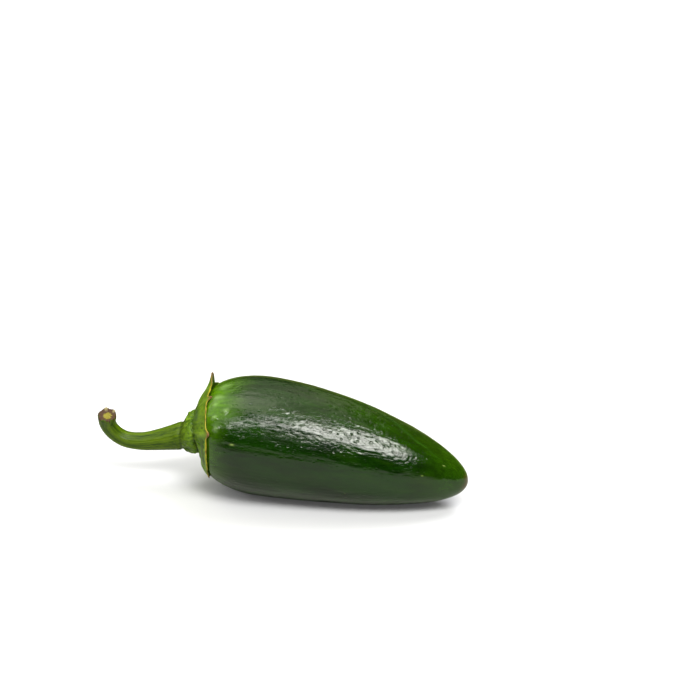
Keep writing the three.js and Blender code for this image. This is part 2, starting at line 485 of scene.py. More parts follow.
def long_grain_group() -> bpy.types.NodeTree:
    """Noise drawn out along the fruit, the grain that the skin and the stalk share.

    Returns:
        The group: noise at the position divided by the swings' lengths along and across.
    """
    tree, graph, source, target = new_group("long_grain", Grain(2.0, 0.6), "Value")
    along = graph.math("DIVIDE", 1.0, source.outputs["Along"])
    over = graph.math("DIVIDE", 1.0, source.outputs["Across"])
    scale = graph.node("CombineXYZ", {0: along, 1: over, 2: over}).outputs[0]
    place = {0: source.outputs["Position"], 1: scale}
    noise_inputs = {
        "Vector": graph.node("VectorMath", place, operation="MULTIPLY").outputs[0],
        "Scale": 1.0,
        "Detail": source.outputs["Detail"],
        "Roughness": 0.55,
        "Distortion": source.outputs["Wobble"],
    }
    noise = graph.node("TexNoise", noise_inputs)
    graph.tree.links.new(noise.outputs["Fac"], target.inputs["Value"])
    return tree


def flecks_group() -> bpy.types.NodeTree:
    """Small scattered spots, at most one to a cell of the given spacing.

    Returns:
        The group: a soft disc round the middle of each cell that a random share keeps.
    """
    tree, graph, source, target = new_group("flecks", Flecks(4.0, 0.08, 0.5), "Mask")
    scale = graph.math("DIVIDE", 1.0, source.outputs["Spacing"])
    along = graph.math("DIVIDE", 1.0, source.outputs["Stretch"])
    shrink = graph.node("CombineXYZ", {0: along, 1: 1.0, 2: 1.0}).outputs[0]
    place = {0: source.outputs["Position"], 1: shrink}
    shrunk = graph.node("VectorMath", place, operation="MULTIPLY").outputs[0]
    cells = graph.node("TexVoronoi", {"Vector": shrunk, "Scale": scale, "Randomness": 1.0})
    chance = graph.node("SeparateColor", {0: cells.outputs["Color"]}).outputs[0]
    kept = graph.math("LESS_THAN", chance, source.outputs["Share"])
    edge = graph.math("MULTIPLY", source.outputs["Size"], 0.4)
    spot = graph.rise(cells.outputs["Distance"], source.outputs["Size"], edge)
    graph.tree.links.new(graph.math("MULTIPLY", spot, kept), target.inputs["Mask"])
    return tree


def new_material(name: str) -> tuple[bpy.types.Material, bpy.types.NodeTree]:
    """An empty node material.

    Args:
        name: Its name.

    Returns:
        The material and its node tree.
    """
    material = bpy.data.materials.new(name)
    material.use_nodes = True
    material.node_tree.nodes.clear()
    return material, material.node_tree


@dataclass
class Groups:
    """The shader node groups that both skins place."""

    grain: bpy.types.NodeTree = field(default_factory=long_grain_group)
    flecks: bpy.types.NodeTree = field(default_factory=flecks_group)


class SkinGraph(Graph):
    """The graph of a skin's material, which knows the place on the fruit and the shared groups."""

    def __init__(self, name: str, groups: Groups) -> None:
        """Starts an empty material.

        Args:
            name: The material's name.
            groups: The shared node groups.
        """
        self.material, tree = new_material(name)
        super().__init__(tree)
        self.groups = groups
        self.place = self.attribute(Mask.SKIN)

    def look(self, kind: Grain | Flecks) -> Socket:
        """The grain or the flecks of these numbers at each place."""
        tree = self.groups.grain if isinstance(kind, Grain) else self.groups.flecks
        return self.node("Group", {"Position": self.place, **socket_values(kind)}, node_tree=tree).outputs[0]

    def share(self, value: Socket, share: float) -> Socket:
        """A share of a value."""
        return self.math("MULTIPLY", value, share)

    def layered(self, colour: Socket, layers: tuple) -> Socket:
        """The colour with layers over it.

        Args:
            colour: The lowest colour.
            layers: Pairs of a share or a mask and the colour that it lays on, in order.

        Returns:
            The mixed colour.
        """
        for share, layer in layers:
            colour = self.mix(self.attribute(share) if isinstance(share, Mask) else share, colour, layer)
        return colour

    def roughness(self, noise: Socket, low: float, high: float) -> Socket:
        """Roughness from low to high by the middle part of a noise."""
        inputs = {"Value": noise, "From Min": 0.3, "From Max": 0.7, "To Min": low, "To Max": high}
        return self.node("MapRange", inputs).outputs[0]

    def raised(self, value: Socket, height: float, lower: Socket) -> Socket:
        """A height in metres: a value times its height in millimetres, on a lower height."""
        return self.math("MULTIPLY_ADD", value, height * MM, lower)

    def normal(self, height: Socket) -> Socket:
        """The normal bent by a height in metres."""
        return self.node("Bump", {"Strength": 1.0, "Distance": 1.0, "Height": height}).outputs[0]


@dataclass(frozen=True)
class PodSkin:
    """The glossy dark green skin of the pod."""

    dark: tuple = linear(4, 23, 0)
    middle: tuple = linear(12, 42, 0)
    # Paler green of the shoulder and tip, also used for the faint bands and a painted light along the top.
    pale: tuple = linear(82, 126, 6)
    # Painted highlight along the fine seam's ridge.
    seam: tuple = linear(48, 88, 34)
    scar: tuple = linear(66, 42, 18)
    fleck: tuple = linear(150, 170, 90)
    # Paler colour of the shoulder knobs, partly their own skin and partly a painted glint.
    knob: tuple = linear(120, 150, 84)
    clouds: Grain = Grain(24.0, 9.0, 3.0)
    streaks: Grain = Grain(7.0, 1.1, 3.0)
    streak_share: float = 0.35
    bands: Grain = Grain(26.0, 2.8)
    band_share: float = 0.045
    spots: Flecks = Flecks(5.5, 0.06, 0.3, 1.6)
    spot_share: float = 0.4
    knob_share: float = 0.5
    dullness: Grain = Grain(9.0, 3.0, 4.0)
    roughness: tuple[float, float] = (0.09, 0.17)
    coat: float = 0.3
    coat_roughness: float = 0.05
    dashes: Grain = Grain(1.3, 0.5, 3.0, 0.8)
    dash_height: float = 0.021
    fine: Grain = Grain(0.5, 0.28, 1.0)
    grain_height: float = 0.011
    specks: Flecks = Flecks(1.35, 0.33, 0.7, 1.3)
    speck_depth: float = 0.09
    furrows: Grain = Grain(20.0, 2.0, 1.0)
    furrow_height: float = 0.15

    def material(self, groups: Groups) -> bpy.types.Material:
        """Builds the skin.

        Args:
            groups: The shared node groups.

        Returns:
            Two greens in drawn-out clouds, faint bands, a pale shoulder with a painted light on the top,
            flecks, knobs partly pale by a painted glint, a painted highlight on the fine seam and the scar,
            with fine grain and long furrows under a clear wax coat.
        """
        graph = SkinGraph("glossy_green_skin", groups)
        streaks = graph.look(self.streaks)
        clouds = graph.share(graph.look(self.clouds), 1 - self.streak_share)
        blend = graph.math("MULTIPLY_ADD", streaks, self.streak_share, clouds)
        mottle = graph.math("MULTIPLY_ADD", graph.rise(streaks, 0.25, 0.75), 0.5, 0.6)
        layers = (
            (graph.share(graph.rise(graph.look(self.bands), 0.45, 0.75), self.band_share), self.pale),
            # Paler shoulder and tip, and a painted light along the top.
            (graph.math("MULTIPLY", graph.attribute(Mask.PALE), mottle), self.pale),
            # Painted highlight along the fine seam.
            (Mask.SEAM, self.seam),
            (graph.share(graph.look(self.spots), self.spot_share), self.fleck),
            (Mask.FLECK, self.fleck),
            # Knobs paler, partly their own skin and partly a painted glint.
            (graph.share(graph.attribute(Mask.KNOB), self.knob_share), self.knob),
            (Mask.SCAR, self.scar),
        )
        greens = graph.mix(graph.rise(blend, 0.38, 0.62), self.dark, self.middle)
        height = graph.share(graph.rise(graph.look(self.dashes), 0.36, 0.6), self.dash_height * MM)
        height = graph.raised(graph.look(self.fine), self.grain_height, height)
        height = graph.raised(graph.look(self.specks), -self.speck_depth, height)
        height = graph.math("MULTIPLY", height, graph.attribute(Mask.RELIEF))
        height = graph.raised(graph.look(self.furrows), self.furrow_height, height)
        normal = graph.normal(height)
        shader_inputs = {
            "Base Color": graph.layered(greens, layers),
            "Roughness": graph.roughness(graph.look(self.dullness), *self.roughness),
            "IOR": 1.42,
            "Coat Weight": self.coat,
            "Coat Roughness": self.coat_roughness,
            "Coat IOR": 1.45,
            "Normal": normal,
            "Coat Normal": normal,
        }
        graph.surface(shader_inputs)
        return graph.material


@dataclass(frozen=True)
class StalkSkin:
    """The satin yellow-green skin of the calyx and the stalk, with its pale edge and brown torn end."""

    blade_dark: tuple = linear(62, 94, 10)
    blade_light: tuple = linear(104, 134, 24)
    # Painted shade in the creases, under the blade and on the lower side.
    groove: tuple = linear(14, 28, 4)
    stalk_dark: tuple = linear(28, 52, 0)
    stalk_light: tuple = linear(75, 97, 0)
    vein: tuple = linear(112, 140, 40)
    edge: tuple = linear(150, 138, 34)
    edge_brown: tuple = linear(104, 78, 30)
    tooth: tuple = linear(106, 74, 50)
    torn: tuple = linear(64, 44, 30)
    knob: tuple = linear(144, 134, 96)
    pith: tuple = linear(122, 114, 40)
    streaks: Grain = Grain(9.0, 0.42, 3.0)
    clouds: Grain = Grain(2.6, 1.5, 4.0)
    browning: Grain = Grain(1.4, 1.4)
    fine: Grain = Grain(0.7, 0.35)
    spots: Flecks = Flecks(2.2, 0.1, 0.35)
    spot_share: float = 0.35
    vein_share: float = 0.7
    rib_share: float = 0.22
    cloud_share: float = 0.3
    streak_share: float = 1.1
    specular: float = 0.25
    roughness: tuple[float, float] = (0.34, 0.5)
    grain_height: float = 0.02
    fine_height: float = 0.008

    def material(self, groups: Groups) -> bpy.types.Material:
        """Builds the skin.

        Args:
            groups: The shared node groups.

        Returns:
            Greens by place, darker between the ribs, with painted shade in the creases, under the blade and
            on the lower side, and edge, tooth and torn-end colours over them.
        """
        graph = SkinGraph("satin_stalk_skin", groups)
        streaks, clouds = graph.look(self.streaks), graph.look(self.clouds)
        mottle = graph.rise(clouds, 0.36, 0.64)
        clouded = graph.share(clouds, self.cloud_share)
        rib = graph.math("MULTIPLY_ADD", graph.attribute(Mask.RIB), self.rib_share, clouded)
        rib = graph.rise(graph.math("MULTIPLY_ADD", streaks, self.streak_share, rib), 0.4, 1.1)
        browning = graph.rise(graph.look(self.browning), 0.45, 0.68)
        browned = graph.math("MULTIPLY_ADD", mottle, 0.4, 0.75)
        layers = (
            (Mask.STALK, graph.mix(rib, self.stalk_dark, self.stalk_light)),
            (graph.share(graph.attribute(Mask.VEIN), self.vein_share), self.vein),
            # Painted shade in the creases, under the blade and on the lower side.
            (Mask.GROOVE, self.groove),
            (Mask.EDGE, graph.mix(browning, self.edge, self.edge_brown)),
            (graph.math("MULTIPLY", graph.attribute(Mask.TOOTH), browned), self.tooth),
            (Mask.TORN, self.torn),
            (Mask.PITH, self.pith),
            (Mask.KNOB, self.knob),
            (graph.share(graph.look(self.spots), self.spot_share), self.vein),
        )
        blade = graph.mix(mottle, self.blade_dark, self.blade_light)
        height = graph.share(streaks, self.grain_height * MM)
        height = graph.raised(graph.look(self.fine), self.fine_height, height)
        shader_inputs = {
            "Base Color": graph.layered(blade, layers),
            "Roughness": graph.roughness(clouds, *self.roughness),
            "IOR": 1.45,
            "Specular IOR Level": self.specular,
            "Normal": graph.normal(height),
        }
        graph.surface(shader_inputs)
        return graph.material


@dataclass(frozen=True)
class StudioPaper:
    """The plain pale floor."""

    colour: tuple = (0.555, 0.555, 0.585, 1.0)
    far_colour: tuple = (0.12, 0.12, 0.12, 1.0)
    mirrored_colour: tuple = (0.09, 0.12, 0.02, 1.0)
    roughness: float = 0.7
    far_from: float = 0.12
    far_to: float = 0.3
    mirrored_share: float = 0.54
    mirrored_behind: float = 0.97
    behind_from: float = 0.0
    behind_to: float = 0.04
    glow: float = 0.06
    far_glow: float = 0.8

    def material(self) -> bpy.types.Material:
        """Builds the matt white paper.

        Returns:
            Paper that the camera sees evened out by a faint glow, stronger far away. Light and reflections
            meet it without the glow and darker far away, and reflections meet it darker and greener, most
            of all behind the pepper.
        """
        material, tree = new_material("studio_paper")
        graph = Graph(tree)
        place = graph.node("TexCoord").outputs["Object"]
        distance = graph.node("VectorMath", {0: place}, operation="LENGTH").outputs["Value"]
        far = graph.rise(distance, self.far_from, self.far_to)
        path = graph.node("LightPath")
        seen = path.outputs["Is Camera Ray"]
        unseen_far = graph.math("MULTIPLY", far, graph.math("SUBTRACT", 1.0, seen))
        towards_back = graph.node("SeparateXYZ", {0: place}).outputs["Y"]
        behind = graph.rise(towards_back, self.behind_from, self.behind_to)
        behind = graph.math("MULTIPLY", behind, self.mirrored_behind)
        darker = graph.math("MAXIMUM", behind, self.mirrored_share)
        mirrored = graph.math("MULTIPLY", path.outputs["Is Glossy Ray"], darker)
        glow = graph.math("MULTIPLY_ADD", far, self.far_glow, self.glow)
        paper = graph.mix(unseen_far, self.colour, self.far_colour)
        shader_inputs = {
            "Base Color": graph.mix(mirrored, paper, self.mirrored_colour),
            "Roughness": self.roughness,
            "Specular IOR Level": 0.1,
            "Emission Color": (1.0, 1.0, 1.0, 1.0),
            "Emission Strength": graph.math("MULTIPLY", glow, seen),
        }
        graph.surface(shader_inputs)
        return material


@dataclass(frozen=True)
class Knob:
    """A smooth lump on the pod's shoulder."""

    forward: float
    degrees: float
    width: float
    height: float


@dataclass(frozen=True)
class Swing:
    """Smooth noise on the pod's skin: its height, and the length of its swings along and round the pod."""

    height: float
    along: float
    across: float
    shift: float = 0.0

    def read(self, lattice: Lattice, skin: Array) -> Array:
        """The noise at each place, from -height to height."""
        return self.height * lattice.noise(skin / [self.along, self.across, self.across] + self.shift)


@dataclass
class Pod:
    """The pod: an outline turned round a gently bent middle line, with lobes, creases, wrinkles and pits."""

    length: float = 78.1
    radius: float = 17.4
    widest_at: float = 18.0
    seat_radius: float = 11.0
    seat_depth: float = 2.4
    seat_dish: float = 0.4
    lobe_count: int = 3
    lobe_height: float = 0.2
    lobe_crest: float = 270.0
    crease_count: int = 5
    crease_depth: float = 0.35
    crease_crest: float = 40.0
    crease_rise: float = 3.4
    crease_length: float = 14.0
    seam_at: float = 62.0
    seam_width: float = 9.0
    seam_height: float = 0.25
    seam_from: float = 30.0
    seam_to: float = 74.0
    fine_seam_from: tuple[float, float] = (64.2, 70.0)
    fine_seam_turn: float = -2.09
    fine_seam_width: float = 2.2
    fine_seam_height: float = 0.05
    # Strength of the painted highlight along the fine seam.
    fine_seam_paleness: float = 0.25
    swell: Swing = Swing(0.13, 16, 9)
    small_swell: Swing = Swing(0.035, 6, 3.4, 7)
    dent: Swing = Swing(1.0, 2.9, 1.05)
    dent_depth: float = 0.045
    ripple: Swing = Swing(0.035, 1.9, 0.75, 5)
    pit_cell: tuple[float, float, float] = (2.2, 1.7, 1.7)
    pit_width: float = 0.24
    pit_depth: float = 0.1
    patch: Swing = Swing(1.0, 13, 6, 19)
    pale_fringe: Swing = Swing(2.5, 30, 3, 3)
    scar_fringe: Swing = Swing(0.35, 1.6, 1.6, 9)
    fleck_strength: float = 0.7
    sides: int = 400
    seat_rings: int = 5
    skin_rings: int = 242
    floor_rounding: float = 0.1
    knobs: tuple[Knob, ...] = (
        *(Knob(6.8, 41, 0.8, 0.56), Knob(7.7, 29.5, 0.75, 0.5), Knob(9.8, 48, 0.8, 0.42)),
        *(Knob(6.2, 56, 0.8, 0.25), Knob(6.4, 66, 1.6, 0.3), Knob(7.4, 84, 1.5, 0.2)),
        *(Knob(7.0, 128, 1.0, 0.4), Knob(8.2, 175, 0.9, 0.42), Knob(6.6, 188, 1.3, 0.3)),
        Knob(7.2, 222, 1.1, 0.35),
    )
    flecks: tuple[tuple[float, float, float, float], ...] = (
        (12.9, 16, 0.6, 0.22),
        (70.4, 53, 0.3, 0.3),
        (65.4, 22, 0.25, 0.2),
        (33.5, 120, 0.3, 0.25),
        (44.0, 250, 0.5, 0.22),
        (24.0, 205, 0.3, 0.3),
        (58.0, 160, 0.3, 0.3),
    )
    clouds: Lattice = field(default_factory=lambda: Lattice(11))
    dents: Lattice = field(default_factory=lambda: Lattice(12))
    wrinkles: Lattice = field(default_factory=lambda: Lattice(13))

    @property
    def line(self) -> Array:
        """Control points of the middle line."""
        third = self.length / 3
        start = [(0, 0, 0), (third, 0, 1.5)]
        return np.array([*start, (2 * third, -0.8, -3.7), (self.length, 0.7, -9.6)]) + BASE

    @property
    def shoulder(self) -> Array:
        """Control points of the outline's shoulder, as (forward, radius)."""
        start = [(self.seat_depth, self.seat_radius), (self.seat_depth, 15)]
        return np.array([*start, (10.9, self.radius), (self.widest_at, self.radius)], float)

    @property
    def body(self) -> Array:
        """Control points of the outline from the widest ring to the tip."""
        start = [(self.widest_at, self.radius), (self.widest_at + 22, self.radius)]
        return np.array([*start, (self.length, 10), (self.length, 0)], float)

    def outline(self) -> Array:
        """The pod's outline.

        Returns:
            Rows of (forward, radius) from beside the seat's middle to just before the tip.
        """
        middle, rim = [self.seat_depth - self.seat_dish, 0], [self.seat_depth, self.seat_radius]
        seat = np.linspace(middle, rim, self.seat_rings + 1)
        steps = np.linspace(0, 1, 400)
        skin = np.concatenate([bezier(self.shoulder, steps), bezier(self.body, steps)[1:]])
        return np.concatenate([seat[1:-1], even_steps(skin, self.skin_rings + 1)[:-1]])

    def place(self, forward: Array, radii: Array, degrees: Array) -> Array:
        """Points at the given distances forward along the middle line and out from it."""
        share = forward / self.length
        return around(bezier(self.line, share), across(bezier_tangent(self.line, share)), degrees, radii)

    def on_line(self, forward: float) -> Array:
        """The middle line's point at a distance forward."""
        return bezier(self.line, forward / self.length)

    def full_radius(self, forward: Array, radii: Array, degrees: Array) -> Array:
        """The outline's radius with the broad forms added.

        Args:
            forward: Distance along the middle line.
            radii: The outline's radius there.
            degrees: Angle round the pod.

        Returns:
            The radius plus three soft lobes, minus five creases on the shoulder, plus one faint raised seam.
        """
        lobes = self.lobe_height * np.cos(np.radians(self.lobe_count * (degrees - self.lobe_crest)))
        lobes = lobes * smoothstep(forward, self.seat_depth, self.widest_at) * (1 - forward / self.length)
        creases = np.cos(np.radians(self.crease_count * (degrees - self.crease_crest))) - 1
        creases = self.crease_depth / 2 * creases
        creases = creases * smoothstep(radii, self.seat_radius, self.seat_radius + self.crease_rise)
        creases = creases * (1 - smoothstep(forward, self.seat_depth, self.crease_length))
        return radii + lobes + creases + self.seam_height * self.seam_share(forward, degrees, self.seam_width)

    def seam_share(self, forward: Array, degrees: Array, width: float) -> Array:
        """How much of a seam is at each place.

        Args:
            forward: Distance along the middle line.
            degrees: Angle round the pod.
            width: The seam's width in degrees.

        Returns:
            A bell round the seam's angle, times a rise and a fall along it.
        """
        middle = (self.seam_from + self.seam_to) / 2
        rise = smoothstep(forward, self.seam_from, middle)
        along = rise * (1 - smoothstep(forward, middle, self.seam_to))
        return bump(degrees, self.seam_at, width) * along

    def fine_seam_share(self, forward: Array, degrees: Array) -> Array:
        """How much of the fine raised line is at each place.

        Args:
            forward: Distance along the middle line.
            degrees: Angle round the pod.

        Returns:
            The seam's share, read round a line that turns round the pod as it runs forward and sways by
            two sines.
        """
        start, at = self.fine_seam_from
        line = at + self.fine_seam_turn * (forward - start)
        line = line + 1.5 * np.sin(0.5 * forward) + 0.8 * np.sin(1.3 * forward)
        return self.seam_share(forward, degrees - line + self.seam_at, self.fine_seam_width)

    def relief(self, skin: Array, forward: Array, degrees: Array) -> Array:
        """Height of the skin's relief in millimetres.

        Args:
            skin: Positions on the unbent pod.
            forward: Distance along the middle line.
            degrees: Angle round the pod.

        Returns:
            Slow swells, shallow dents drawn out along the pod, small pits, the shoulder's knobs and the
            fine seam.
        """
        swells = self.swell.read(self.clouds, skin) + self.small_swell.read(self.clouds, skin)
        dents = -self.dent_depth * smoothstep(self.dent.read(self.wrinkles, skin), 0.05, 0.7)
        ripples = self.ripple.read(self.wrinkles, skin)
        pits = -self.pit_depth * np.exp(-((self.dents.spots(skin / self.pit_cell) / self.pit_width) ** 2))
        rough = self.relief_share(skin, forward)
        lumps = sum(knob.height * self.spot(forward, degrees, knob) for knob in self.knobs)
        seam = self.fine_seam_height * self.fine_seam_share(forward, degrees)
        return swells + rough * (dents + ripples + pits) + lumps + seam

    def relief_share(self, skin: Array, forward: Array) -> Array:
        """How strong the fine relief is at each place.

        Args:
            skin: Positions on the unbent pod.
            forward: Distance along the middle line.

        Returns:
            A patchy share up to 1, smaller towards the belly, the shoulder and the tip.
        """
        along = smoothstep(forward, 4, 13) * (1 - 0.75 * smoothstep(forward, 58, 72))
        along = along * (0.4 + 0.6 * smoothstep(skin[..., 2] / self.radius, 0.05, 0.6))
        return along * (0.6 + 0.4 * smoothstep(self.patch.read(self.clouds, skin), -0.5, 0.3))

    def arc(self, degrees: Array, middle: float) -> Array:
        """The length round the widest ring from an angle to each of the others."""
        return np.radians(turned_from(degrees, middle)) * self.radius

    def spot(self, forward: Array, degrees: Array, knob: Knob) -> Array:
        """A round bell at a knob's place."""
        return np.exp(-((forward - knob.forward) ** 2 + self.arc(degrees, knob.degrees) ** 2) / knob.width**2)

    def build(self) -> bpy.types.Object:
        """Builds the pod: the turned outline, moved along its normals by the relief, resting on the floor.

        Returns:
            The closed mesh object.
        """
        outline = self.outline()
        angles = np.arange(self.sides) * TURN / self.sides
        forward, degrees = np.meshgrid(outline[:, 0], angles, indexing="ij")
        radii = self.full_radius(forward, np.broadcast_to(outline[:, 1:], forward.shape), degrees)
        base = self.place(forward, radii, degrees)
        turned = np.radians(degrees)
        skin = np.stack([forward, radii * np.cos(turned), radii * np.sin(turned)], axis=-1)
        centres = np.broadcast_to(self.on_line(self.length * 0.4), base.shape)
        rings = base + surface_normals(base, centres) * self.relief(skin, forward, degrees)[..., None]
        height = rings[..., 2]
        rings[..., 2] = (height + np.sqrt(height**2 + self.floor_rounding**2)) / 2
        first, last = self.on_line(self.seat_depth - self.seat_dish), self.on_line(self.length)
        return Loft(rings, first, last, self._masks(skin, forward, degrees)).to_object("pod_visual")

    def _masks(self, skin: Array, forward: Array, degrees: Array) -> dict[Mask, Array]:
        """The finish's masks.

        Args:
            skin: Positions on the unbent pod.
            forward: Distance along the middle line.
            degrees: Angle round the pod.

        Returns:
            The position itself, and shares for the paler shoulder and tip with a painted light along the top,
            the painted highlight on the fine seam, the brown scar at the tip, the fine relief, the flecks
            and the knobs, whose paleness is partly a painted glint.
        """
        reach = 9.5 + 3.5 * bump(degrees, 65, 40) + self.pale_fringe.read(self.clouds, skin)
        fade = 1 - smoothstep(forward / reach, 0.35, 1.35)
        pale = fade * (0.3 + 0.6 * bump(degrees, 68, 42) + 0.25 * bump(degrees, 250, 60))
        pale = pale + 0.09 * smoothstep(forward, 58, 77)
        # Painted light: a paler band along the top stands in for light from behind and above.
        pale = pale + 0.13 * bump(degrees, 98, 36) * smoothstep(forward, 16, 48)
        ragged = 0.95 + self.scar_fringe.read(self.clouds, skin)
        scar = np.exp(-(((self.length - forward) / ragged) ** 2)) * 1.2
        fleck = np.zeros_like(forward)
        for at, angle, long, wide in self.flecks:
            across_it = self.arc(degrees, angle) / wide
            fleck += self.fleck_strength * np.exp(-(((forward - at) / long) ** 2) - across_it**2)
        return {
            Mask.SKIN: skin,
            # Paler shoulder and tip, with the painted light along the top.
            Mask.PALE: np.clip(pale, 0, 1),
            # Painted highlight along the fine seam.
            Mask.SEAM: self.fine_seam_paleness * self.fine_seam_share(forward, degrees),
            Mask.SCAR: np.clip(scar, 0, 1),
            Mask.RELIEF: self.relief_share(skin, forward),
            Mask.FLECK: fleck,
            # Knobs, whose paleness in the skin is partly a painted glint.
            Mask.KNOB: sum(self.spot(forward, degrees, knob) for knob in self.knobs),
        }


@dataclass(frozen=True)
class Tooth:
    """One point of the calyx's edge."""

    at: float
    forward: float
    out: float
    width: float = 2.4
    power: float = 2.0


@dataclass
class StalkLine:
    """The stalk's middle line: a smooth line through points, read by the share of its length."""

    through: tuple[tuple[float, float, float], ...] = (
        (-1.1, 0, -0.5),
        (-6, -0.3, -2.1),
        (-13, -1.1, -3.9),
        (-18.6, -1.8, -4.7),
        (-23.4, -2.4, -4.1),
        (-26.5, -3.1, -1.8),
        (-28, -4, 1.4),
        (-27.7, -5, 4.6),
    )
    steps: int = 60

    def __post_init__(self) -> None:
        """Reads the line densely and notes the distance run to each point."""
        self.points, self.tangents = self._dense()
        run = np.linalg.norm(np.diff(self.points, axis=0), axis=1)
        self.run = np.concatenate([[0.0], np.cumsum(run)])
        self.length = float(self.run[-1])
        self.run /= self.length

    def _dense(self) -> tuple[Array, Array]:
        """The centripetal Catmull-Rom curve.

        Returns:
            Its points and unit tangents: each span is a cubic with slopes from its neighbours' distances.
        """
        rows = np.array(self.through, float) + BASE
        rows = np.concatenate([[2 * rows[0] - rows[1]], rows, [2 * rows[-1] - rows[-2]]])
        points, tangents = [], []
        spans = len(rows) - 3
        for i in range(spans):
            a, b, c, d = rows[i : i + 4]
            before, here, after = (math.sqrt(np.linalg.norm(q - p)) for p, q in ((a, b), (b, c), (c, d)))
            start = ((b - a) / before - (c - a) / (before + here) + (c - b) / here) * here
            end = ((c - b) / here - (d - b) / (here + after) + (d - c) / after) * here
            t = np.linspace(0, 1, self.steps, endpoint=i == spans - 1)[:, None]
            cubic, square = 2 * b - 2 * c + start + end, -3 * b + 3 * c - 2 * start - end
            points.append(b + start * t + square * t**2 + cubic * t**3)
            tangents.append(start + 2 * square * t + 3 * cubic * t**2)
        return np.concatenate(points), unit(np.concatenate(tangents))

    def at(self, fraction: float) -> tuple[Array, Array]:
        """One place on the line.

        Args:
            fraction: Share of its length.

        Returns:
            The point and the unit tangent there.
        """
        tables = (self.points, self.tangents)
        point, tangent = (np.array([np.interp(fraction, self.run, c) for c in table.T]) for table in tables)
        return point, unit(tangent)


class RingStack:
    """The rings of a closed surface, each with its place on the unrolled skin and its masks."""

    MASKS = (
        *(Mask.EDGE, Mask.TOOTH, Mask.VEIN, Mask.GROOVE, Mask.STALK),
        *(Mask.RIB, Mask.TORN, Mask.PITH, Mask.KNOB),
    )

    def __init__(self, angles: Array) -> None:
        """Starts without rings.

        Args:
            angles: Angle of each point of a ring.
        """
        turned = np.radians(angles)
        self.cosine, self.sine = np.cos(turned), np.sin(turned)
        self.rings: list[Array] = []
        self.values: dict[Mask, list[Array]] = {mask: [] for mask in (Mask.SKIN, *self.MASKS)}

    def add(self, points: Array, run: float, radius: Array | float, **masks: Array | float) -> None:
        """Keeps one ring.

        Args:
            points: Its points.
            run: Its distance along the unrolled skin.
            radius: Its radius there.
            **masks: Masks by the names of their attributes, 0 where not given.
        """
        self.rings.append(points)
        count = len(points)
        skin = [np.full(count, run), radius * self.cosine, radius * self.sine]
        self.values[Mask.SKIN].append(np.stack(skin, axis=-1))
        for mask in self.MASKS:
            self.values[mask].append(np.broadcast_to(masks.get(mask.value, 0.0), count))

    def loft(self, first: Array, last: Array) -> Loft:
        """The surface through all rings between two poles."""
        masks = {mask: np.stack(rows) for mask, rows in self.values.items()}
        return Loft(np.stack(self.rings), first, last, masks)


